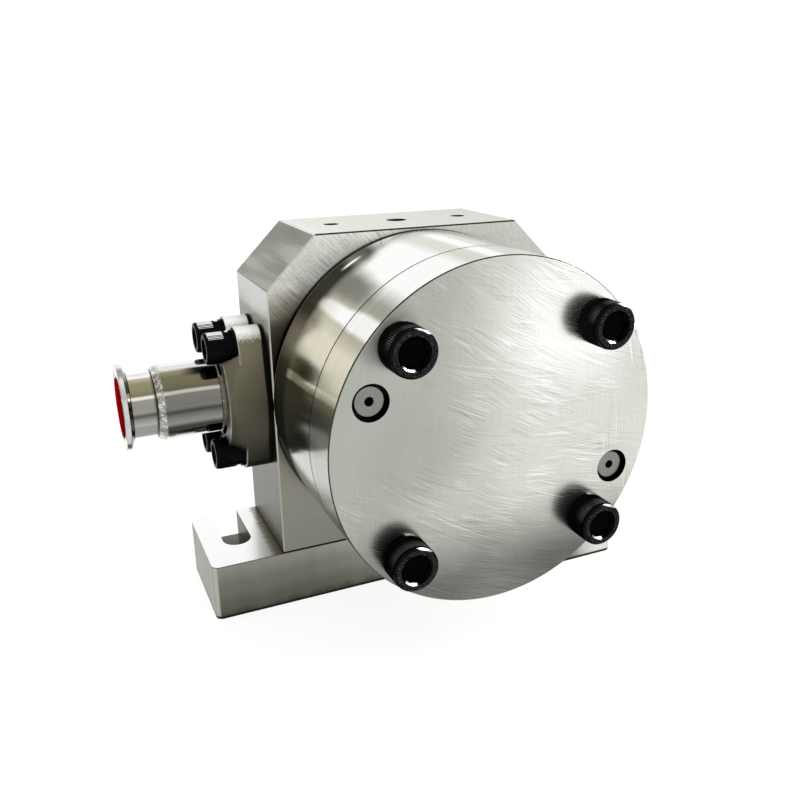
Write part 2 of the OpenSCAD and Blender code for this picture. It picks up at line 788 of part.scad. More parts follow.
module port_plug() {
    r = port_bore_d / 2 - plug_gap;
    round_r = 1.5;
    along_x(ferrule_x - plug_len, 0, axis_z) rotate_extrude() polygon(concat(
        [[r - plug_wall - 0.3, 0], [r - 0.3, 0], [r, 2]],
        arc(r - round_r, plug_len + plug_crown - round_r, round_r, 0, 90, 5),
        [[0, plug_len + plug_crown], [0, plug_len - plug_wall], [r - plug_wall, plug_len - plug_wall]]));
}

module port_seal_ring() {
    along_x(port_face_x, 0, axis_z) seal_ring(port_ring_r);
}

module inlet_flange() { color(satin) port_side("inlet") port_flange(); }
module inlet_flange_screws() { color(black) port_side("inlet") port_screws(); }
module inlet_washers() { color(black) port_side("inlet") port_washers(); }
module inlet_seal_ring() { color(black) port_side("inlet") port_seal_ring(); }
module inlet_pipe() { color(polished) port_side("inlet") port_pipe(); }
module inlet_ferrule() { color(polished) port_side("inlet") port_ferrule(); }
module inlet_dust_plug() { color(red) port_side("inlet") port_plug(); }
module outlet_flange() { color(satin) port_side("outlet") port_flange(); }
module outlet_flange_screws() { color(black) port_side("outlet") port_screws(); }
module outlet_washers() { color(black) port_side("outlet") port_washers(); }
module outlet_seal_ring() { color(black) port_side("outlet") port_seal_ring(); }
module outlet_pipe() { color(polished) port_side("outlet") port_pipe(); }
module outlet_ferrule() { color(polished) port_side("outlet") port_ferrule(); }
module outlet_dust_plug() { color(red) port_side("outlet") port_plug(); }

base_plate();
base_screws();
pump_block();
bearing_drum();
front_cover();
cover_screws();
dowel_pins();
drum_seal_ring();
cover_seal_ring();
rear_housing();
rear_housing_screws();
rear_seal_ring();
seal_gland();
gland_screws();
shaft_seals();
drive_shaft();
drive_gear();
drive_gear_key();
driven_shaft();
driven_gear();
driven_gear_key();
front_bushes();
rear_bushes();
inlet_flange();
inlet_flange_screws();
inlet_washers();
inlet_seal_ring();
inlet_pipe();
inlet_ferrule();
inlet_dust_plug();
outlet_flange();
outlet_flange_screws();
outlet_washers();
outlet_seal_ring();
outlet_pipe();
outlet_ferrule();
outlet_dust_plug();
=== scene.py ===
import math
import random

import bmesh
import bpy
from mathutils import Matrix, Vector


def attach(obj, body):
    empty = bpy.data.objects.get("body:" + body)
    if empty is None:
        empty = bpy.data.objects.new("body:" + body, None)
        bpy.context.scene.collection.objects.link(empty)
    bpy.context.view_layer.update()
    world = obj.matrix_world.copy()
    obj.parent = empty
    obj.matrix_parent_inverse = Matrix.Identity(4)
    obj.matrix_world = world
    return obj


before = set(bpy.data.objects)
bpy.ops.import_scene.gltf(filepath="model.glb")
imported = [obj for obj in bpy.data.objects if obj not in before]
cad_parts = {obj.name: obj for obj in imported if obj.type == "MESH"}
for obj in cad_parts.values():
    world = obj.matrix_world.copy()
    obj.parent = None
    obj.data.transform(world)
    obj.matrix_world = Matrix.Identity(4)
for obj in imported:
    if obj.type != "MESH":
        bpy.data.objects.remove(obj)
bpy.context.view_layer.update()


# Base plate: one thick bar of stainless steel, sawn and ground, with two counterbores milled in from the
# rear and a toe that reaches out under the drum. Its upright faces keep soft vertical clouds from the
# grinding wheel, and its top is ground finer. Its colour holds painted light and shade: the upright faces
# are painted darker towards the floor and lighter towards the right end, with a painted shadow line along
# the floor and a painted dark line along the top edge; the end faces and round corners are painted
# lighter; the top is painted pale, with a painted reflection of the block darkening it near the block;
# and the counterbores hold painted shade.
class Wire:
    """One socket of a node tree. Arithmetic on it adds Math nodes, and node() adds any other."""

    def __init__(self, tree, socket=None):
        self.tree, self.socket = tree, socket

    def node(self, kind, inputs=(), out=0, stops=(), **settings):
        made = self.tree.nodes.new(kind)
        for name, value in settings.items():
            setattr(made, name, value)
        if stops:
            ramp = made.color_ramp.elements
            while len(ramp) < len(stops):
                ramp.new(1.0)
            for place, (at, shade) in zip(ramp, stops):
                place.position = at
                place.color = (shade, shade, shade, 1.0) if isinstance(shade, (int, float)) else (*shade, 1.0)
        for name, value in dict(inputs).items():
            if isinstance(value, Wire):
                self.tree.links.new(value.socket, made.inputs[name])
            else:
                made.inputs[name].default_value = value
        return Wire(self.tree, made.outputs[out])

    def streak(self, centre, half, soft):
        """1 within half of the centre, fading to 0 over soft."""
        return 1.0 - abs(self - centre).between(half, half + soft)

    def maths(self, operation, *terms):
        return self.node("ShaderNodeMath", dict(enumerate(terms)), operation=operation)

    def __add__(self, other):
        return self.maths("ADD", self, other)

    def __radd__(self, other):
        return self.maths("ADD", other, self)

    def __sub__(self, other):
        return self.maths("SUBTRACT", self, other)

    def __rsub__(self, other):
        return self.maths("SUBTRACT", other, self)

    def __mul__(self, other):
        return self.maths("MULTIPLY", self, other)

    def __truediv__(self, other):
        return self.maths("DIVIDE", self, other)

    def __pow__(self, other):
        return self.maths("POWER", self, other)

    def __abs__(self):
        return self.maths("ABSOLUTE", self)

    def between(self, low, high):
        """0 below low, 1 above high, with a soft step."""
        return self.node("ShaderNodeMapRange", {0: self, 1: low, 2: high, 3: 0.0, 4: 1.0},
            interpolation_type="SMOOTHSTEP")

    def parts(self):
        """The three parts of a vector."""
        return [self.node("ShaderNodeSeparateXYZ", {0: self}, out=i) for i in range(3)]

    def ramp(self, stops, interpolation="EASE"):
        made = self.node("ShaderNodeValToRGB", {0: self}, stops=stops)
        made.socket.node.color_ramp.interpolation = interpolation
        return made

    def mix(self, low, high):
        """The colour low where this is 0 and high where it is 1."""
        pick = lambda c: c if isinstance(c, Wire) else (*c, 1.0)
        return self.node("ShaderNodeMix", {0: self, 6: pick(low), 7: pick(high)}, out=2, data_type="RGBA")

    def times(self, colour):
        """The colour made lighter or darker by this."""
        grey = self.node("ShaderNodeCombineColor", {0: self, 1: self, 2: self})
        return self.node("ShaderNodeMix", {0: 1.0, 6: colour, 7: grey}, out=2, data_type="RGBA",
            blend_type="MULTIPLY")

    def noise(self, at, scale, detail=2.0, roughness=0.5, shift=(0.0, 0.0, 0.0)):
        """Noise between 0 and 1, stretched by the three scales."""
        spot = self.node("ShaderNodeMapping", {0: at, 1: shift, 3: scale})
        return self.node("ShaderNodeTexNoise",
            {"Vector": spot, "Scale": 1.0, "Detail": detail, "Roughness": roughness})

    def bump(self, height, strength, distance, **more):
        return self.node("ShaderNodeBump", {"Strength": strength, "Distance": distance, "Height": height,
            **more})


def new_finish(name, **constants):
    """A metallic or plain material, its Principled shader, and the places and normals on the piece."""
    material = bpy.data.materials.new(name)
    material.use_nodes = True
    shader = material.node_tree.nodes["Principled BSDF"]
    for socket, value in constants.items():
        shader.inputs[socket.replace("_", " ")].default_value = value
    tools = Wire(material.node_tree)
    at = tools.node("ShaderNodeTexCoord", out=3)
    facing = tools.node("ShaderNodeTexCoord", out=1)
    return material, shader, tools, at, facing


def feed(shader, **wires):
    """Links what varies over the surface to the shader's sockets."""
    for socket, wire in wires.items():
        wire.tree.links.new(wire.socket, shader.inputs[socket.replace("_", " ")])


def dress(material, *nodes):
    for node in nodes:
        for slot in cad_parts[node].material_slots:
            slot.material = material


block_half = 0.0925
foot_left, foot_right, foot_bore_r = -0.114, 0.1105, 0.0092
ground_steel, shader, tools, at, facing = new_finish("ground_steel", Metallic=1.0)
side, depth, up = facing.parts()
x, y, z = at.parts()
clouds = tools.noise(at, (45.0, 40.0, 10.0), 3.0, 0.6)
grain = tools.noise(at, (1000.0, 1000.0, 120.0), 2.0, 0.6)
fine = tools.noise(at, (1500.0, 1500.0, 1500.0), 2.0, 0.6)
# Painted shade: the upright faces darken towards the floor, over the grinding clouds.
upright = (z * 28.0 + (clouds - 0.5) * 0.35 + (grain - 0.5) * 0.12).ramp([
    (0.0, (0.045, 0.044, 0.034)), (0.2, (0.11, 0.108, 0.088)), (0.55, (0.165, 0.163, 0.137)),
    (1.0, (0.26, 0.258, 0.225))])
# Painted light: the upright faces grow lighter towards the right, and the right end is painted pale.
toe = x.between(0.02, 0.06)
upright = (toe * 0.6 + x.between(-0.09, -0.03) * 0.5 + x.between(-0.05, 0.02) * 0.5 + 1.0).times(upright)
upright = x.between(0.09, 0.12).mix(upright, (0.72, 0.72, 0.69))
# Painted light: the end faces get a lighter tone than the front.
end_face = (grain * 0.5 + clouds * 0.5).ramp([(0.3, (0.2, 0.2, 0.17)), (0.7, (0.34, 0.34, 0.3))])
upright = abs(side).between(0.2, 0.95).mix(upright, end_face)
# Painted highlight on the round corners.
round_corner = (abs(side) * abs(depth)).between(0.33, 0.46)
upright = (round_corner * (grain * 0.4 + 0.3)).mix(upright, (0.62, 0.62, 0.56))
from_left, from_right = abs(x - foot_left), abs(x - foot_right)
bore_edge = (foot_bore_r, foot_bore_r + 0.0004)
in_bore = (1.0 - from_left.between(*bore_edge) * from_right.between(*bore_edge)) * y.between(-0.0135, -0.0131)
# Painted shade inside the counterbores, with a painted light line and a painted dark line on their walls.
bore_wall = z.streak(0.0178, 0.0002, 0.0004).mix((0.085, 0.082, 0.06), (0.4, 0.39, 0.33))
upright = in_bore.mix(upright, z.streak(0.0172, 0.0003, 0.0003).mix(bore_wall, (0.01, 0.01, 0.008)))
# Painted reflection and light on the top: the block's painted reflection darkens it near the block, and
# further out it is painted near white.
from_block = abs(x) - block_half + (tools.noise(at, (60.0, 700.0, 60.0), 2.0, 0.6) - 0.5) * 0.006
shelf = (from_block * 50.0 + (y + 0.035) * 2.0).ramp([
    (0.0, (0.15, 0.14, 0.1)), (0.12, (0.22, 0.21, 0.15)), (0.28, (0.42, 0.405, 0.33)),
    (0.36, (0.85, 0.84, 0.78)), (0.42, (1.0, 1.0, 0.99))])
# Painted shade on the counterbores' floors.
bore_floor = (clouds * 0.6 + y * 12.0 + 0.1).ramp([
    (0.2, (0.03, 0.028, 0.02)), (0.5, (0.055, 0.052, 0.04)), (0.9, (0.16, 0.155, 0.13))])
flat = up.between(0.6, 0.9)
top = z.between(0.03, 0.032).mix(bore_floor, shelf)
# Painted shadow: a dark line where the upright faces meet the floor.
upright = z.between(0.0012, 0.0022).mix((0.015, 0.015, 0.012), upright)
# Painted shade: a dark line along the top edge of the upright faces.
rims = z.between(0.0343, 0.0347) * (1.0 - flat) * (1.0 - in_bore)
near_block = 1.0 - (abs(x) - block_half).between(0.0, 0.026)
feed(shader, Base_Color=rims.mix(flat.mix(upright, top), (0.04, 0.04, 0.032)),
     Roughness=grain * 0.14 + 0.3 - flat * 0.16 + flat * near_block * 0.15,
     Normal=tools.bump((grain * 0.6 + fine * 0.4) * (1.0 - flat * 0.8), 0.06, 0.0004))
dress(ground_steel, "base_plate")


# Pump block: a stainless steel block with two slanted top corners, ground on every face. The front shows
# fine wheel lines square to the slanted edges. The sides are brushed upright, the corners along their depth.
# Its colour holds painted light and shade: painted reflections in dark and bright bands by height, painted
# highlights on the top, the upper front and the edges, and painted shade along edges, round the drum, at
# the base and in the top holes.
axis_z = 0.13
top_hole_x = 0.042
block_steel, shader, tools, at, facing = new_finish("block_steel", Metallic=1.0)
side, depth, up = facing.parts()
x, y, z = at.parts()
front = abs(depth).between(0.6, 0.9)
flat = up.between(0.8, 0.95)
slanted = (abs(side) * up * 2.0).between(0.6, 0.9)
folded = tools.node("ShaderNodeCombineXYZ", {0: abs(x), 1: y, 2: z})
turned = tools.node("ShaderNodeMapping", {0: folded, 2: (0.0, math.radians(45.0), 0.0)})
wheel_lines = tools.noise(turned, (60.0, 30.0, 2600.0), 2.0, 0.7)
wheel_patches = tools.noise(turned, (120.0, 30.0, 300.0), 2.0, 0.5)
pits = tools.noise(at, (1100.0, 1100.0, 1100.0), 3.0, 0.7)
brush_up = tools.noise(at, (1300.0, 1300.0, 10.0), 2.0, 0.6)
brush_deep = tools.noise(at, (1200.0, 10.0, 1200.0), 2.0, 0.6)
soft_deep = tools.noise(at, (70.0, 9.0, 70.0), 1.0, 0.5)
clouds = tools.noise(at, (22.0, 22.0, 15.0), 2.0, 0.5)
from_slant = (0.2885 - (abs(x) + z)) / math.sqrt(2.0)
# Painted reflections: the front is painted in dark and bright bands by height, and darker towards the right.
front_tone = (z * 4.0 + (clouds - 0.5) * 0.06).ramp([
    (0.12, (0.22, 0.217, 0.185)), (0.3, (0.24, 0.235, 0.197)), (0.42, (0.22, 0.21, 0.165)),
    (0.55, (0.12, 0.112, 0.082)), (0.66, (0.085, 0.077, 0.053)), (0.71, (0.11, 0.1, 0.072)),
    (0.755, (0.34, 0.33, 0.28)), (0.81, (0.85, 0.84, 0.78)), (0.9, (0.88, 0.88, 0.82))])
front_tone = (1.0 - x.between(-0.02, 0.05) * 0.35).times(front_tone)
# Painted light: bright patches on the upper front below the slanted edges.
lit = ((1.0 - from_slant.between(0.0, 0.024)) * (wheel_patches.between(0.36, 0.66) * 0.6 + 0.4)
    * z.between(0.165, 0.2) * (1.0 - x.between(-0.04, 0.02)))
front_tone = (lit * 0.6).mix(front_tone, (0.92, 0.92, 0.88))
fade = z.between(0.15, 0.19) * (1.0 - x.between(-0.03, 0.03) * 0.8)
from_axis = (x * x + (z - axis_z) * (z - axis_z)) ** 0.5
# Painted shade: a dark ring on the front round the drum.
front_tone = (from_axis.between(0.0932, 0.0941) * 0.9 + 0.1).times(front_tone)
front_tone = ((wheel_lines - 0.5) * (fade * 1.9 + 0.2) + (pits - 0.5) * (0.2 + z.between(0.15, 0.2) * 0.5)
    + 1.0).times(front_tone)
# Painted shade: the sides darken towards the bottom.
side_tone = (z * 4.0 + (brush_up - 0.5) * 0.12 + (clouds - 0.5) * 0.1).ramp([
    (0.14, (0.035, 0.032, 0.02)), (0.3, (0.06, 0.056, 0.038)), (0.5, (0.2, 0.2, 0.17)),
    (0.68, (0.22, 0.22, 0.19)), (0.75, (0.5, 0.5, 0.47)), (0.85, (0.6, 0.6, 0.57))])
# Painted reflection: a dark band on the sides at the height of the flanges' tops.
side_tone = (z.streak(0.1735, 0.003, 0.005) * 0.8).mix(side_tone, (0.13, 0.128, 0.105))
# Painted light: soft light bands along the depth of the slanted corners, mixed with their brushing.
corner_tone = (soft_deep * 0.75 + brush_deep * 0.25).ramp([
    (0.38, (0.13, 0.13, 0.095)), (0.48, (0.18, 0.18, 0.14)), (0.57, (0.32, 0.32, 0.265)),
    (0.66, (0.4, 0.4, 0.34))])
# Painted light: the top is painted pale, lighter towards the left.
top_tone = (tools.noise(at, (400.0, 60.0, 60.0), 2.0, 0.6) * 0.4 + x * 4.0 + 0.4).ramp([
    (0.2, (0.9, 0.9, 0.86)), (0.5, (0.7, 0.71, 0.64)), (0.85, (0.6, 0.61, 0.54))])
outer_hole = abs(x) - top_hole_x
clear = (((outer_hole * outer_hole + y * y) ** 0.5).between(0.0045, 0.0048)
    * ((x * x + y * y) ** 0.5).between(0.0062, 0.0065))
# Painted shade: black in and round the top holes.
top_tone = clear.mix((0.004, 0.004, 0.003), top_tone)
tone = flat.mix(front.mix(slanted.mix(side_tone, corner_tone), front_tone), top_tone)
# Painted shade: dark lines along the edges of the sides and slanted corners.
edge_shade = ((z.streak(0.196, 0.0002, 0.0003) + z.between(0.2244, 0.2248) + slanted * y.between(0.0342, 0.0347))
    * (1.0 - front) * (1.0 - flat))
tone = (edge_shade * 0.8).mix(tone, (0.03, 0.03, 0.024))
# Painted highlight on the upright and slanted edges of the front, and painted shade on the edge between front
# and top.
bright_corner = (abs(side) * abs(depth)).between(0.12, 0.17)
dark_corner = (abs(depth) * up).between(0.38, 0.46) * (1.0 - abs(side).between(0.1, 0.3))
tone = (bright_corner * 0.6).mix(tone, (0.5, 0.5, 0.44))
tone = dark_corner.mix(tone, (0.02, 0.02, 0.015))
# Painted shadow: a dark line where the block sits on the base.
tone = z.between(0.0352, 0.0358).mix((0.012, 0.012, 0.009), tone)
# Painted shade: the walls of the top holes are black.
in_hole = (z.between(0.205, 0.2075) * (1.0 - z.between(0.2246, 0.2249))
    * (1.0 - abs(side).between(0.99, 0.9999)) * (1.0 - up.between(0.3, 0.5))
    * (1.0 - abs(y).between(0.0062, 0.0066)))
tone = in_hole.mix(tone, (0.002, 0.002, 0.002))
lines = front * wheel_lines + (1.0 - front) * (slanted * brush_deep + (1.0 - slanted) * brush_up)
feed(shader, Base_Color=tone,
     Roughness=lines * 0.16 + 0.2 + front * z.between(0.16, 0.2) * 0.25,
     Normal=tools.bump(lines, 0.08, 0.0004))
dress(block_steel, "pump_block")


# Bearing drum, rear housing and seal gland: turned from round bar, so the tool has left fine rings round
# their axis, and painted reflections lie on the polished skin in bright and dark bands along it, with
# painted highlights, and painted shade where the block is near and on the drum's rounded rear edge. The
# drum butts against the cover.
joint_y = -0.1035
turned_steel, shader, tools, at, facing = new_finish("turned_steel", Metallic=1.0)


def turned_skin(tools, at):
    """Painted reflection bands of the skin, its rings, and where painted shade darkens it near the block."""
    x, y, z = at.parts()
    waver = tools.noise(at, (6.0, 20.0, 6.0), 2.0, 0.5) - 0.5
    phi = tools.maths("ARCTAN2", x * -1.0, z - axis_z) * 57.3 + waver * 3.0
    reach = abs(y) * 1000.0 + y.between(0.0, 0.001) * 40.0
    rings = tools.noise(at, (6.0, 3000.0, 6.0), 2.0, 0.7)
    open_side = reach.between(66.0, 112.0)
    turn = (phi + (1.0 - open_side) * phi.between(22.0, 34.0) * 5.0) / 360.0 + 0.5
    # Painted reflections: bright and dark bands round the axis, away from the block.
    front = turn.ramp([
        (0.0, (0.2, 0.19, 0.15)), (0.1, (0.45, 0.44, 0.4)), (0.2, (0.18, 0.17, 0.13)),
        (0.3, (0.6, 0.58, 0.5)), (0.4, (0.45, 0.45, 0.41)), (0.48, (0.62, 0.62, 0.56)),
        (0.53, (0.64, 0.65, 0.55)), (0.543, (1.0, 1.0, 0.98)), (0.59, (1.0, 1.0, 0.97)),
        (0.61, (0.4, 0.41, 0.34)), (0.645, (0.52, 0.5, 0.4)), (0.66, (0.7, 0.67, 0.52)),
        (0.683, (0.66, 0.63, 0.48)), (0.703, (0.28, 0.26, 0.18)), (0.72, (0.075, 0.073, 0.05)),
        (0.8, (0.05, 0.05, 0.04)), (0.9, (0.04, 0.04, 0.03))], "LINEAR")
    # Painted shade: the same painted bands, darker, where the block is near.
    inner = turn.ramp([
        (0.0, (0.1, 0.09, 0.07)), (0.1, (0.3, 0.29, 0.25)), (0.2, (0.08, 0.07, 0.05)),
        (0.3, (0.5, 0.48, 0.4)), (0.4, (0.3, 0.3, 0.26)), (0.48, (0.38, 0.38, 0.33)),
        (0.53, (0.5, 0.51, 0.44)), (0.545, (0.72, 0.72, 0.66)), (0.563, (0.06, 0.06, 0.045)),
        (0.59, (0.18, 0.18, 0.14)), (0.605, (0.014, 0.014, 0.008)), (0.66, (0.03, 0.026, 0.014)),
        (0.682, (0.2, 0.18, 0.125)), (0.694, (0.18, 0.165, 0.115)), (0.712, (0.03, 0.028, 0.016)),
        (0.75, (0.008, 0.009, 0.006))], "LINEAR")
    away = (reach + (1.0 - phi.between(20.0, 27.0)) * 7.0).between(54.5, 69.0)
    tone = away.mix(inner, front)
    # Painted reflections: dark streaks along the skin.
    dip = (phi.streak(38.5, 2.0, 5.0) * away * (1.0 - reach.between(92.0, 112.0)) * 0.6
        + phi.streak(53.0, 1.5, 2.5) * away * (1.0 - reach.between(64.0, 80.0)) * 0.5)
    tone = (1.0 - dip).times(tone)
    # Painted highlights: bright and pale streaks along the skin, a lighter band low down, and a glint near
    # the block.
    tone = (phi.streak(47.4, reach.between(54.0, 80.0) * 1.1 + reach.between(95.0, 112.0) + 0.3, 2.2)
        * reach.between(53.0, 70.0)).mix(tone, (1.0, 1.0, 0.97))
    tone = (phi.streak(2.5, 1.0, 3.0) * away).mix(tone, (1.0, 1.0, 0.96))
    sliver = 76.6 - reach * 0.046
    tone = (phi.streak(sliver, 0.9, 1.1) * away * (1.0 - reach.between(92.0, 120.0) * 0.6)).mix(tone,
        (0.95, 0.92, 0.76))
    below = phi + reach * 0.227
    lower = below.between(113.3, 115.3) * (1.0 - below.between(125.0, 150.0) * 0.8) * away
    tone = lower.mix(tone, (0.5, 0.51, 0.47))
    tone = (phi.streak(30.5, 1.0, 4.0) * reach.streak(49.0, 0.5, 2.2)).mix(tone, (1.0, 1.0, 0.96))
    tone = (rings * 0.7 + 0.65).times(tone)
    return tone, rings, (1.0 - away) * phi.between(17.0, 22.0)


depth = facing.parts()[1]
y = at.parts()[1]
rim = 1.0 - abs(depth).between(0.3, 0.6)
skin, rings, shade_by_block = turned_skin(tools, at)
# Painted shade on the rounded rear edge, with a painted highlight line, turning black where it meets the
# block.
round_end = depth.between(0.03, 0.08) * (1.0 - y.between(-0.034, -0.0335))
end_tone = depth.ramp([
    (0.05, (0.06, 0.052, 0.03)), (0.12, (0.1, 0.088, 0.055)), (0.17, (0.55, 0.53, 0.45)),
    (0.22, (0.14, 0.125, 0.08)), (0.3, (0.008, 0.007, 0.005))])
face = rings.ramp([(0.3, (0.5, 0.5, 0.47)), (0.7, (0.62, 0.61, 0.58))])
tone = y.streak(joint_y, 0.00045, 0.0002).mix(round_end.mix(rim.mix(face, skin), end_tone),
    (0.01, 0.01, 0.008))
# Painted shade: where the block is near, the skin turns partly non-metallic, dark and without gloss.
shader.inputs["Specular IOR Level"].default_value = 0.0
feed(shader, Base_Color=tone,
     Metallic=1.0 - shade_by_block * rim * 0.75,
     Roughness=rings * 0.08 + 0.13,
     Normal=tools.bump(rings, 0.05, 0.0003))
dress(turned_steel, "bearing_drum", "rear_housing", "seal_gland")


# Front cover: a turned disc whose face was finished by hand with a sander, which leaves arcs that cross in
# patches. A painted highlight lies on the face towards the upper right, and painted shade towards the
# bottom and in soft patches. Its rim is turned like the drum's and carries the same painted reflection
# bands, and painted shade darkens the edge of the face, its sharp lip and the two pin recesses.
cover_r = 0.0935
pin_reach, pin_tilt = 0.077, math.radians(22.5)
cover_steel, shader, tools, at, facing = new_finish("cover_steel", Metallic=1.0)
depth = facing.parts()[1]
x, y, z = at.parts()
rim = 1.0 - abs(depth).between(0.3, 0.6)
# The rim takes the drum's painted reflection bands.
skin = turned_skin(tools, at)[0]


def sander_pass(cx, cz, seed, spread):
    """Short arcs of one pass round a far point, from -0.5 to 0.5, which show in soft patches."""
    off_x, off_z = x - cx, z - cz
    reach = (off_x * off_x + off_z * off_z) ** 0.5
    spot = tools.node("ShaderNodeCombineXYZ", {0: reach * 1500.0, 1: tools.maths("ARCTAN2", off_x, off_z)
        * reach * 19.0, 2: seed})
    scratch = tools.node("ShaderNodeTexNoise",
        {"Vector": spot, "Scale": 1.0, "Detail": 2.0, "Roughness": 0.6})
    patch = tools.noise(at, (spread, 1.0, spread), 1.0, 0.5, (seed * 3.1, 0.0, seed * 1.7))
    return (scratch - 0.5 + scratch.between(0.6, 0.68) * 0.22) * patch.between(0.42, 0.6)


sweeps = (sander_pass(0.12, 0.42, 3.0, 48.0) + sander_pass(0.15, 0.37, 11.0, 42.0)
    + sander_pass(0.06, 0.46, 17.0, 54.0) * 0.7)
arcs = (sweeps * (1.0 - x.between(0.055, 0.085) * 0.7) + sander_pass(-0.2, 0.1, 23.0, 30.0)
    * x.between(0.05, 0.075))
plain = tools.noise(at, (900.0, 1.0, 60.0), 2.0, 0.6) - 0.5
clouds = tools.noise(at, (20.0, 1.0, 20.0), 2.0, 0.5) - 0.5
u, w = x / cover_r, (z - axis_z) / cover_r
# Painted light and shade on the face: a painted highlight towards the upper right, painted shade towards the
# bottom, and lighter and darker painted patches.
glow_u, glow_w = u - 0.42, w - 0.62
glow = 1.0 - ((glow_u * glow_u + glow_w * glow_w) ** 0.5).between(0.0, 0.62)
level = u.between(-0.5, 0.2) * 0.24 + glow * 0.34 + 0.4 + clouds * 0.14
level = level * (1.0 - (w * -1.0).between(0.3, 0.85) * 0.66)
swept = u.between(-0.6, -0.2) * 0.85 + 0.15
swept = swept + (1.0 - swept) * (1.0 - w.between(-0.3, 0.0)) * 0.7
level = (level - u.between(-0.1, 0.4) * (w * -1.0).between(0.3, 0.8) * 0.09 + u.streak(-0.45, 0.12, 0.25)
    * w.streak(-0.5, 0.1, 0.3) * 0.07)
level = level * (1.0 + arcs * swept * 0.95 + plain * 0.16)
face = level.ramp([(0.0, (0.0, 0.0, 0.0)), (0.5, (0.495, 0.503, 0.455)), (1.0, (0.99, 1.0, 0.96))], "LINEAR")
from_axis = (u * u + w * w) ** 0.5
# Painted shade: a dark ring round the edge of the face.
face = from_axis.between(0.9925, 0.9955).mix(face, (0.04, 0.04, 0.03))
along = abs(x * math.cos(pin_tilt) - (z - axis_z) * math.sin(pin_tilt)) - pin_reach
across = x * math.sin(pin_tilt) + (z - axis_z) * math.cos(pin_tilt)
recess = ((1.0 - ((along * along + across * across) ** 0.5).between(0.0097, 0.0099))
    * y.between(-0.1327, -0.1324))
lip = (y * -1.0).between(0.1321, 0.1324)
near_u, near_w = x + 0.064, z - 0.193
beside = 1.0 - ((near_u * near_u + near_w * near_w) ** 0.5).between(0.012, 0.022)
# Painted shade in the pin recesses and on the sharp lip.
tone = recess.mix(rim.mix(face, lip.mix(skin, (0.03, 0.03, 0.022))), (0.012, 0.012, 0.01))
tone = y.streak(joint_y, 0.00045, 0.0002).mix(tone, (0.01, 0.01, 0.008))
feed(shader, Base_Color=tone,
     Roughness=arcs * 0.15 + 0.26 + beside * 0.3 + lip * rim * 0.35,
     Normal=tools.bump(arcs * 1.5 + plain * 0.5, 0.03, 0.0004))
dress(cover_steel, "front_cover")


# Black screws: socket head cap screws of hardened steel with a thin, oily black oxide finish. Their faces
# keep the dimpled skin of the forging, and the heads have a straight knurl rolled round them. Painted
# glints lie on the faces, painted highlights on the tops, knurls and chamfers of the heads, a painted
# crescent of light in each socket's mouth, and painted shade deep in the sockets.
cover_screw_at, rear_screw_at = 0.0553, 0.05409
port_screw_y, port_screw_z = 0.014, 0.032
cover_head_r, port_head_r = 0.012, 0.009
black_oxide, shader, tools, at, facing = new_finish("black_oxide", Metallic=1.0,
    Specular_Tint=(0.5, 0.5, 0.5, 1.0))
side, depth, up = facing.parts()
x, y, z = at.parts()
dimples = tools.noise(at, (1400.0, 1400.0, 1400.0), 2.0, 0.6)
port = abs(x).between(0.1, 0.104)
off = (abs(x) - cover_screw_at) * (1.0 - port) + (abs(y) - port_screw_y) * port
rise = abs(z - axis_z) - cover_screw_at + port * (cover_screw_at - port_screw_z)
share = ((off * off + rise * rise) ** 0.5) / (cover_head_r - port * (cover_head_r - port_head_r))
face = abs(depth).between(0.6, 0.9) * (1.0 - port) + abs(side).between(0.6, 0.9) * port
sunk = y.between(-0.1477, -0.1472) * (1.0 - port) + (1.0 - abs(x).between(0.1234, 0.1238)) * port
# Painted glints: bright specks on the heads' faces.
glints = tools.noise(at, (2600.0, 2600.0, 2600.0), 2.0, 0.6).between(0.62, 0.72)
tone = dimples.ramp([(0.35, (0.002, 0.0022, 0.0022)), (0.7, (0.007, 0.007, 0.007))])
tone = face.mix(tone, dimples.ramp([(0.35, (0.005, 0.0055, 0.0055)), (0.7, (0.022, 0.024, 0.023))]))
tone = (face * glints * 0.5).mix(tone, (0.4, 0.4, 0.38))
# Painted highlight on the upper side of the cover screws' knurls.
tone = ((1.0 - port) * (1.0 - face) * up.between(0.55, 1.0) * share.between(0.98, 0.99)
    * (1.0 - y.between(-0.1455, -0.139)) * y.between(-0.1467, -0.1464) * 0.4).mix(tone, (0.35, 0.35, 0.34))
corner_x = x - tools.maths("SIGN", x) * cover_screw_at
corner_z = z - axis_z - tools.maths("SIGN", z - axis_z) * cover_screw_at
# Painted highlights: a crescent in the lower left of each socket's mouth, and a streak at the top right of
# each head's chamfer.
lower_left = (((corner_x * 0.42 + corner_z * 0.91) * -83.3 / (share + 0.001)).between(0.87, 0.94)
    * (1.0 - port))
top_right = (corner_x * 0.41 + corner_z * 0.91).between(0.0107, 0.0112) * (1.0 - port)
ahead = 1.0 - y.between(-0.01, 0.0) * (1.0 - port)
# Painted shade: the socket mouths are black, apart from the painted crescent.
tone = ((1.0 - share.between(0.69, 0.705)) * ahead).mix(tone,
    (lower_left * share.between(0.6, 0.63)).mix((0.002, 0.002, 0.002), (0.9, 0.9, 0.88)))
# The outer chamfers are painted black, with a painted highlight at the top right.
tone = (share.between(0.915, 0.93) * (1.0 - face)
    * (abs(depth) * (1.0 - port) + abs(side) * port).between(0.3, 0.5)).mix(tone,
    top_right.mix((0.005, 0.005, 0.005), (0.9, 0.9, 0.88)))
# Painted highlight on the top of each cover screw's head, next to the cover.
tone = ((corner_x * 0.3 + corner_z * 0.95).between(0.0113, 0.0118) * y.between(-0.1348, -0.1344)
    * (1.0 - port) * (1.0 - face)).mix(tone, (1.0, 1.0, 0.98))
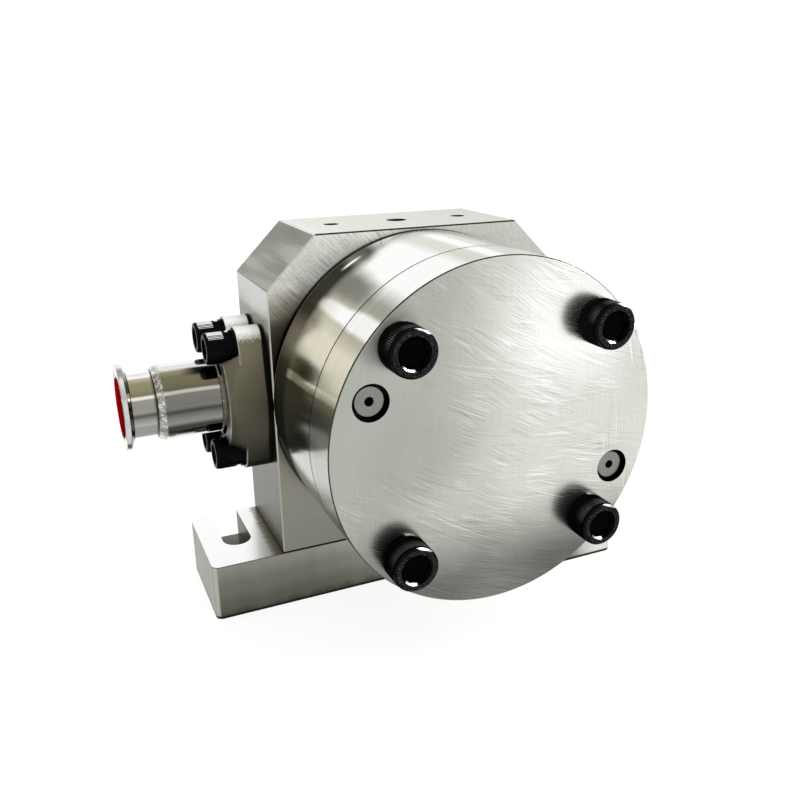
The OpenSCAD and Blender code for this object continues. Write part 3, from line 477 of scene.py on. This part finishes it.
# Painted highlight on the tops of the upper port screw heads.
tone = (port * z.between(0.13, 0.14) * up.between(0.82, 0.9) * (1.0 - face)
    * (1.0 - abs(abs(x) - 0.119).between(0.0042, 0.0046))).mix(tone, (1.0, 1.0, 0.98))
# Painted shade: the sockets are black deep down.
tone = ((1.0 - share.between(0.66, 0.68)) * sunk).mix(tone, (0.0015, 0.0015, 0.0015))
feed(shader, Base_Color=tone,
     Roughness=dimples * 0.2 + 0.1 + face * 0.06,
     Normal=tools.bump(dimples * (1.0 - port * 0.8), 0.15, 0.0003))
dress(black_oxide, "base_screws", "cover_screws", "rear_housing_screws", "gland_screws",
      "inlet_flange_screws", "outlet_flange_screws", "inlet_washers", "outlet_washers")


def finished(name, form, material, body):
    """Makes the modelled form a piece of the pump."""
    bmesh.ops.recalc_face_normals(form, faces=form.faces)
    mesh = bpy.data.meshes.new(name)
    form.to_mesh(mesh)
    form.free()
    mesh.materials.append(material)
    piece = bpy.data.objects.new(name, mesh)
    bpy.context.scene.collection.objects.link(piece)
    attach(piece, body)


def knurl(name, centres, outward, radius, start, stop, teeth, tooth):
    """Toothed sleeves round the heads: each is a toothed disc, drawn out along its head."""
    turn = Vector((0, 0, 1)).rotation_difference(Vector(outward)).to_matrix()
    form = bmesh.new()
    for centre in centres:
        ring = bmesh.ops.create_circle(form, cap_ends=True, segments=2 * teeth, radius=radius)["verts"]
        for corner in ring[::2]:
            corner.co *= 1.0 + tooth / radius
        disc = list(ring[0].link_faces)
        drawn = bmesh.ops.extrude_face_region(form, geom=disc)["geom"]
        far = [v for v in drawn if isinstance(v, bmesh.types.BMVert)]
        bmesh.ops.translate(form, vec=(0.0, 0.0, stop - start), verts=far)
        bmesh.ops.translate(form, vec=(0.0, 0.0, start), verts=ring + far)
        bmesh.ops.rotate(form, cent=(0, 0, 0), matrix=turn, verts=ring + far)
        bmesh.ops.translate(form, vec=centre, verts=ring + far)
    finished(name, form, black_oxide, "casing")


def corners(reach_a, reach_b):
    return [(a * reach_a, b * reach_b) for a in (-1, 1) for b in (-1, 1)]


cover_heads = [(a, 0.0, axis_z + b) for a, b in corners(cover_screw_at, cover_screw_at)]
rear_heads = [(a, 0.0, axis_z + b) for a, b in corners(rear_screw_at, rear_screw_at)]
port_heads = [(0.0, a, axis_z + b) for a, b in corners(port_screw_y, port_screw_z)]
knurl("cover_screw_knurls", cover_heads, (0, -1, 0), radius=0.01202, start=0.1345, stop=0.1465, teeth=66,
    tooth=0.0003)
knurl("rear_screw_knurls", rear_heads, (0, 1, 0), radius=0.00902, start=0.058, stop=0.0672, teeth=54,
    tooth=0.00025)
for port, outward in (("inlet", -1), ("outlet", 1)):
    knurl(port + "_screw_knurls", port_heads, (outward, 0, 0), radius=0.00901, start=0.114, stop=0.1232,
        teeth=54, tooth=0.0001)


# Shafts, gears, keys and dowel pins: hardened and ground steel. The pins' ends are faced, and painted shade
# darkens their flanks in the cover's recesses.
hardened_steel, shader, tools, at, facing = new_finish("hardened_steel", Metallic=1.0)
depth = facing.parts()[1]
y = at.parts()[1]
grain = tools.noise(at, (1500.0, 400.0, 1500.0), 2.0, 0.6)
# Painted shade on the pins' flanks inside the cover's recesses.
sunk = (1.0 - abs(depth).between(0.6, 0.9)) * (y * -1.0).between(0.12, 0.125)
feed(shader, Base_Color=sunk.mix(grain.ramp([
    (0.3, (0.19, 0.19, 0.18)), (0.7, (0.27, 0.27, 0.255))]), (0.012, 0.012, 0.01)),
     Roughness=grain * 0.12 + 0.28,
     Normal=tools.bump(grain, 0.08, 0.0003))
dress(hardened_steel, "drive_shaft", "driven_shaft", "drive_gear", "driven_gear", "drive_gear_key",
    "driven_gear_key", "dowel_pins")


# Bushes of cast bearing bronze, turned on the outside and reamed inside. They are pressed into the drum and
# the rear housing, two in each, and carry both shafts.
bush_bronze, shader, tools, at, _ = new_finish("bush_bronze", Metallic=1.0)
rings = tools.noise(at, (30.0, 1800.0, 30.0), 2.0, 0.6)
feed(shader, Base_Color=rings.ramp([
    (0.3, (0.45, 0.27, 0.1)), (0.7, (0.6, 0.4, 0.18))]), Roughness=rings * 0.1 + 0.3)
dress(bush_bronze, "front_bushes", "rear_bushes")


# Seal rings and shaft seals: moulded black rubber with a matt, faintly mottled skin. The rings lie in the
# grooves of the joints, and the shaft seals behind the rear bushes.
seal_rubber, shader, tools, at, _ = new_finish("seal_rubber")
mottle = tools.noise(at, (700.0, 700.0, 700.0), 2.0, 0.6)
feed(shader, Base_Color=mottle.ramp([
    (0.3, (0.012, 0.012, 0.012)), (0.7, (0.028, 0.028, 0.027))]), Roughness=mottle * 0.2 + 0.45)
dress(seal_rubber, "drum_seal_ring", "cover_seal_ring", "rear_seal_ring", "shaft_seals", "inlet_seal_ring",
    "outlet_seal_ring")


# Port flanges: cast stainless steel, bead blasted to an even speckle, with painted highlights along the
# edges, painted light on the upward faces, painted shade on the flanks, darker towards the bottom, and a
# band of painted shadow where they meet the block. Four screws with spring and flat washers hold each.
satin_steel, shader, tools, at, facing = new_finish("satin_steel", Metallic=1.0)
side, _, up = facing.parts()
x, _, z = at.parts()
speckle = tools.noise(at, (1500.0, 1500.0, 1500.0), 3.0, 0.7)
clouds = tools.noise(at, (40.0, 40.0, 40.0), 2.0, 0.5)
rounded = tools.node("ShaderNodeBevel", {"Radius": 0.0012}, samples=4)
straight = tools.node("ShaderNodeNewGeometry", out=1)
level = tools.node("ShaderNodeVectorMath", {0: rounded, 1: straight}, out=1, operation="DOT_PRODUCT")
# Painted shade: the flanks darken towards the bottom.
flank = (z * 8.0 - 0.5 + (speckle - 0.5) * 0.2).ramp([
    (0.2, (0.022, 0.023, 0.016)), (0.45, (0.085, 0.08, 0.056)), (0.62, (0.17, 0.155, 0.105)),
    (0.85, (0.24, 0.22, 0.15))])
outer = (speckle * 0.6 + clouds * 0.4).ramp([(0.35, (0.2, 0.195, 0.16)), (0.65, (0.32, 0.31, 0.27))])
# Painted light: the upward faces are painted pale, near white at the top.
crown = (speckle - 0.5 + up).ramp([
    (0.35, (0.14, 0.13, 0.09)), (0.6, (0.66, 0.66, 0.6)), (0.85, (0.98, 0.98, 0.95))])
# Painted shade where the flank turns outward on the hub.
flank = (1.0 - abs(side).between(0.25, 0.42) * 0.25).times(flank)
on_hub = (abs(x) - 0.1085).between(-0.0006, 0.0002) * (1.0 - abs(z - axis_z).between(0.032, 0.034))
tone = (up.between(0.25, 0.5) * (1.0 - on_hub * abs(side).between(0.2, 0.4))).mix(abs(side).between(0.78,
    0.92).mix(flank, outer), crown)
# Painted highlights along the edges, kept off the middle between the hub's rim and the block.
inner_edge = (1.0 - abs(z - axis_z).between(0.026, 0.03)) * (1.0 - abs(x).between(0.1135, 0.115))
tone = (level.between(0.85, 0.97) + inner_edge).mix((0.75, 0.75, 0.7), tone)
# Painted shadow: a dark band along the back edge where the flange meets the block, widest in the middle.
bulge = (z - axis_z) / 0.043
contact_shadow = (1.0 - bulge * bulge) * 0.0018 + 0.0016
tone = (abs(x) - block_half - contact_shadow).between(-0.0004, 0.0002).mix((0.008, 0.008, 0.006), tone)
feed(shader, Base_Color=tone, Roughness=speckle * 0.14 + 0.36,
     Normal=tools.bump(speckle, 0.25, 0.0003, Normal=rounded))
dress(satin_steel, "inlet_flange", "outlet_flange")


# Port pipes and clamp ferrules: drawn tube, polished along, with a hand-laid weld bead over the step between
# pipe and ferrule and a smaller one at the flange. Painted reflections of the room lie on the polish in
# long bands, with dark painted reflections of the screw heads, painted glints on the welds, and painted
# shade in the creases and behind the ferrule rims.
polished_steel, shader, tools, at, facing = new_finish("polished_steel", Metallic=1.0)
side = facing.parts()[0]
x, y, z = at.parts()
turn = tools.maths("ARCTAN2", y * -1.0, z - axis_z) / (2.0 * math.pi) + 0.5
turn = turn + (tools.noise(at, (20.0, 4.0, 4.0), 2.0, 0.5) - 0.5) * 0.01
# Painted reflections: long bright and dark bands round the tube's axis.
bands = turn.ramp([
    (0.0, (0.8, 0.8, 0.77)), (0.1, (0.25, 0.25, 0.23)), (0.25, (0.5, 0.5, 0.47)),
    (0.36, (0.2, 0.19, 0.15)), (0.44, (0.9, 0.9, 0.87)), (0.55, (0.95, 0.95, 0.93)),
    (0.57, (0.28, 0.26, 0.18)), (0.6, (0.15, 0.138, 0.08)), (0.66, (0.16, 0.143, 0.088)),
    (0.666, (0.7, 0.68, 0.62)), (0.674, (0.66, 0.64, 0.58)), (0.68, (0.2, 0.19, 0.165)),
    (0.735, (0.17, 0.17, 0.155)), (0.75, (0.05, 0.05, 0.045)), (0.77, (0.16, 0.16, 0.15)),
    (0.8, (0.26, 0.26, 0.24)), (0.82, (0.05, 0.05, 0.045)), (0.855, (0.04, 0.04, 0.035)),
    (0.875, (0.35, 0.35, 0.33)), (0.89, (0.9, 0.9, 0.88)), (0.93, (0.85, 0.85, 0.82))], "LINEAR")
end_face = abs(side).between(0.5, 0.9)
from_axis = (y * y + (z - axis_z) * (z - axis_z)) ** 0.5
# Painted shade near the bore and at the outer edge of the ferrule's end face, which is painted light between.
rim_face = (from_axis * 40.0).ramp([
    (0.72, (0.06, 0.06, 0.05)), (0.77, (0.12, 0.12, 0.11)), (0.8, (0.62, 0.62, 0.59)),
    (0.93, (0.55, 0.55, 0.52)), (0.97, (0.2, 0.2, 0.18))])
tone = end_face.mix(bands, rim_face)
laid = tools.noise(at, (600.0, 400.0, 400.0), 2.0, 0.6)
# Painted reflection: a dark streak of the screw heads on the top of the pipe near the flange.
tone = ((1.0 - abs(x).between(0.129, 0.141)) * turn.between(0.556, 0.566)
    * (1.0 - turn.between(0.592, 0.612))).mix(tone, (0.006, 0.006, 0.004))
# Painted shade over the root weld, darker at the bottom, with painted glints where the bands show through.
root_run = abs(x).streak(0.1177, 0.0012, 0.0004) * (1.0 - laid.between(0.6, 0.66) * z.between(0.11, 0.13))
root_tone = z.between(0.11, 0.14).mix((0.03, 0.028, 0.02), (0.13, 0.12, 0.085))
tone = root_run.mix(tone, root_tone)
# Painted glints on the step weld.
laid_run = abs(x).between(0.1496, 0.1506) * (1.0 - abs(x).between(0.1536, 0.1542)) * (1.0 - end_face)
sparkle = tools.noise(at, (380.0, 380.0, 380.0), 3.0, 0.65)
sparkle = sparkle.ramp([(0.38, (0.22, 0.215, 0.18)), (0.5, (0.45, 0.445, 0.4)), (0.6, (0.95, 0.95, 0.92))])
tone = (laid_run * 0.65).mix(tone, sparkle)
# The lower side of the neck is painted an even grey in place of the painted bands.
tone = (abs(x).between(0.1545, 0.1548) * turn.between(0.795, 0.815)
    * (1.0 - turn.between(0.863, 0.873))).mix(tone, (0.19, 0.19, 0.175))
# Painted reflections on the ferrule's rim: grey bands with a dark one low down.
rim_edge = from_axis.between(0.0236, 0.0242) * (1.0 - end_face) * abs(x).between(0.16, 0.165)
tone = rim_edge.mix(tone, turn.ramp([
    (0.4, 0.5), (0.53, 0.55), (0.55, 0.2), (0.58, 0.2), (0.6, 0.42), (0.64, 0.34), (0.7, 0.4),
    (0.76, 0.32), (0.8, 0.38), (0.845, 0.32), (0.86, 0.03), (0.88, 0.03), (0.9, 0.5)], "LINEAR"))
# Painted shade in the crease where the step weld meets the neck.
crease_shade = 1.0 - (1.0 - abs(abs(x) - 0.1544).between(0.0002, 0.0006)) * (1.0 - end_face)
tone = crease_shade.mix((0.03, 0.03, 0.025), tone)
# The painted tones of the neck and ferrule are made 1.6 times lighter.
tone = (abs(x).between(0.155, 0.156) * 0.6 + 1.0).times(tone)
# Painted shade on the neck just behind the ferrule's rim.
tone = (abs(x).between(0.1672, 0.1676) * (1.0 - abs(x).between(0.1696, 0.1699))
    * (1.0 - abs(side).between(0.995, 0.999))).mix(tone, (0.015, 0.015, 0.012))
grain = tools.noise(at, (20.0, 900.0, 900.0), 2.0, 0.6)
feed(shader, Base_Color=tone, Roughness=grain * 0.06 + 0.08, Normal=tools.bump(grain, 0.03, 0.0003))
dress(polished_steel, "inlet_pipe", "inlet_ferrule", "outlet_pipe", "outlet_ferrule")


def weld(name, outward, place, radius, length, crown, lean, ripples, seed):
    """A bead all round a port: an oval spun round the pipe, then rippled as it was laid."""
    random.seed(seed)
    form = bmesh.new()
    oval = bmesh.ops.create_circle(form, segments=12, radius=1.0)["verts"]
    bmesh.ops.scale(form, vec=(length, crown, 1.0), verts=oval)
    bmesh.ops.rotate(form, cent=(0, 0, 0), matrix=Matrix.Rotation(lean, 3, "Z"), verts=oval)
    bmesh.ops.translate(form, vec=(place, radius, 0.0), verts=oval)
    bmesh.ops.spin(form, geom=form.verts[:] + form.edges[:], cent=(0, 0, 0), axis=(1, 0, 0), angle=2.0
        * math.pi,
                   steps=ripples * 4, use_merge=True)
    swell = [random.uniform(-1.0, 1.0) for _ in range(ripples)]
    for corner in form.verts:
        round_pipe = math.atan2(corner.co.z, corner.co.y) / (2.0 * math.pi) + 0.5
        beat = round_pipe * ripples
        lump = abs(math.sin(math.pi * beat)) * 0.12 * crown * 2.0 + swell[int(beat) % ripples] * 0.08 * crown
        slope = Vector((0.0, corner.co.y, corner.co.z)).normalized()
        corner.co += slope * lump
        corner.co.x += swell[int(beat) % ripples] * 0.05 * length
        corner.co.x *= outward
    bmesh.ops.translate(form, vec=(0.0, 0.0, axis_z), verts=form.verts)
    finished(name, form, polished_steel, "casing")


for port, outward in (("inlet", -1.0), ("outlet", 1.0)):
    weld(port + "_step_weld", outward, place=0.1512, radius=0.02105, length=0.0031, crown=0.0005,
         lean=math.radians(-24.0), ripples=44, seed=5)
    weld(port + "_root_weld", outward, place=0.1176, radius=0.0225, length=0.0012, crown=0.0008,
         lean=math.radians(-45.0), ripples=52, seed=9)


# Dust plugs: thin cups moulded in soft red plastic. They are pushed into the bores of the ferrules by hand,
# to keep dirt out until the pump is piped up.
red_plastic, shader, tools, at, _ = new_finish("red_plastic")
mottle = tools.noise(at, (300.0, 300.0, 300.0), 2.0, 0.5)
y = at.parts()[1]
# Painted shade: the plugs are darker towards -y and lighter towards +y.
shade = y * 20.0 + 0.5 + (mottle - 0.5) * 0.1
feed(shader, Base_Color=shade.ramp([
    (0.0, (0.1, 0.001, 0.001)), (0.5, (0.25, 0.001, 0.003)), (1.0, (0.55, 0.006, 0.01))]),
     Roughness=mottle * 0.15 + 0.5)
shader.inputs["Specular IOR Level"].default_value = 0.0
dress(red_plastic, "inlet_dust_plug", "outlet_dust_plug")


# Studio: a white floor that keeps a soft shadow of the pump and runs into a white wall, with a darker band
# of wall high up, a soft lamp at the front right and a small one low at the right.
floor_mesh = bpy.data.meshes.new("floor")
plan = bmesh.new()
bmesh.ops.create_grid(plan, x_segments=1, y_segments=1, size=6.0)
plan.to_mesh(floor_mesh)
plan.free()
floor = bpy.data.objects.new("floor", floor_mesh)
bpy.context.scene.collection.objects.link(floor)
floor.location.z = -0.0004
paper, shader, tools, *_ = new_finish("paper", Base_Color=(0.97, 0.97, 0.96, 1.0), Roughness=0.9)
shader.inputs["Specular IOR Level"].default_value = 0.0
seen = tools.node("ShaderNodeLightPath")
seen = [Wire(tools.tree, seen.socket.node.outputs[name]) for name in ("Is Camera Ray", "Is Glossy Ray",
    "Is Transmission Ray")]
share = (seen[0] + seen[1] + seen[2]) * 0.8
glow = tools.node("ShaderNodeEmission", {"Color": (1.0, 1.0, 0.995, 1.0), "Strength": 1.1})
blend = tools.node("ShaderNodeMixShader", {0: share})
tools.tree.links.new(tools.tree.nodes["Principled BSDF"].outputs[0], blend.socket.node.inputs[1])
tools.tree.links.new(glow.socket, blend.socket.node.inputs[2])
tools.tree.links.new(blend.socket, tools.tree.nodes["Material Output"].inputs["Surface"])
floor_mesh.materials.append(paper)

world = bpy.data.worlds.new("studio")
world.use_nodes = True
bpy.context.scene.world = world
sky = Wire(world.node_tree)
height = sky.node("ShaderNodeTexCoord", out=0).parts()[2]
glow = height.ramp([(0.0, 1.0), (0.52, 1.0), (0.64, 0.75), (0.8, 0.9), (1.0, 1.2)], "LINEAR")
world.node_tree.links.new(glow.socket, world.node_tree.nodes["Background"].inputs["Color"])


def lamp(name, place, aim, width, height, power):
    light = bpy.data.lights.new(name, "AREA")
    light.shape = "RECTANGLE"
    light.size, light.size_y, light.energy = width, height, power
    holder = bpy.data.objects.new(name, light)
    holder.location = place
    holder.rotation_euler = (Vector(aim) - Vector(place)).to_track_quat("-Z", "Y").to_euler()
    bpy.context.scene.collection.objects.link(holder)


lamp("key", (1.1, -0.9, 1.3), (0, 0, 0.12), 0.5, 0.8, 8.0)
lamp("low", (1.42, -0.3, 0.98), (0, -0.1, 0.13), 0.3, 0.3, 5.0)

view = bpy.data.cameras.new("photo_view")
view.sensor_width = 36.0
view.lens = 37.981
view.shift_x = -0.02095
view.shift_y = -0.00535
view.clip_start = 0.01
camera = bpy.data.objects.new("photo_view", view)
right = Vector((0.909458, -0.415707, -0.00854))
upward = Vector((0.142927, 0.293267, 0.945286))
back = Vector((-0.390458, -0.860919, 0.32613))
camera.matrix_world = Matrix.Translation((-0.2054, -0.4810, 0.2915)) @ Matrix((right, upward,
    back)).transposed().to_4x4()
bpy.context.scene.collection.objects.link(camera)
bpy.context.scene.camera = camera
bpy.context.scene.view_settings.view_transform = "Standard"
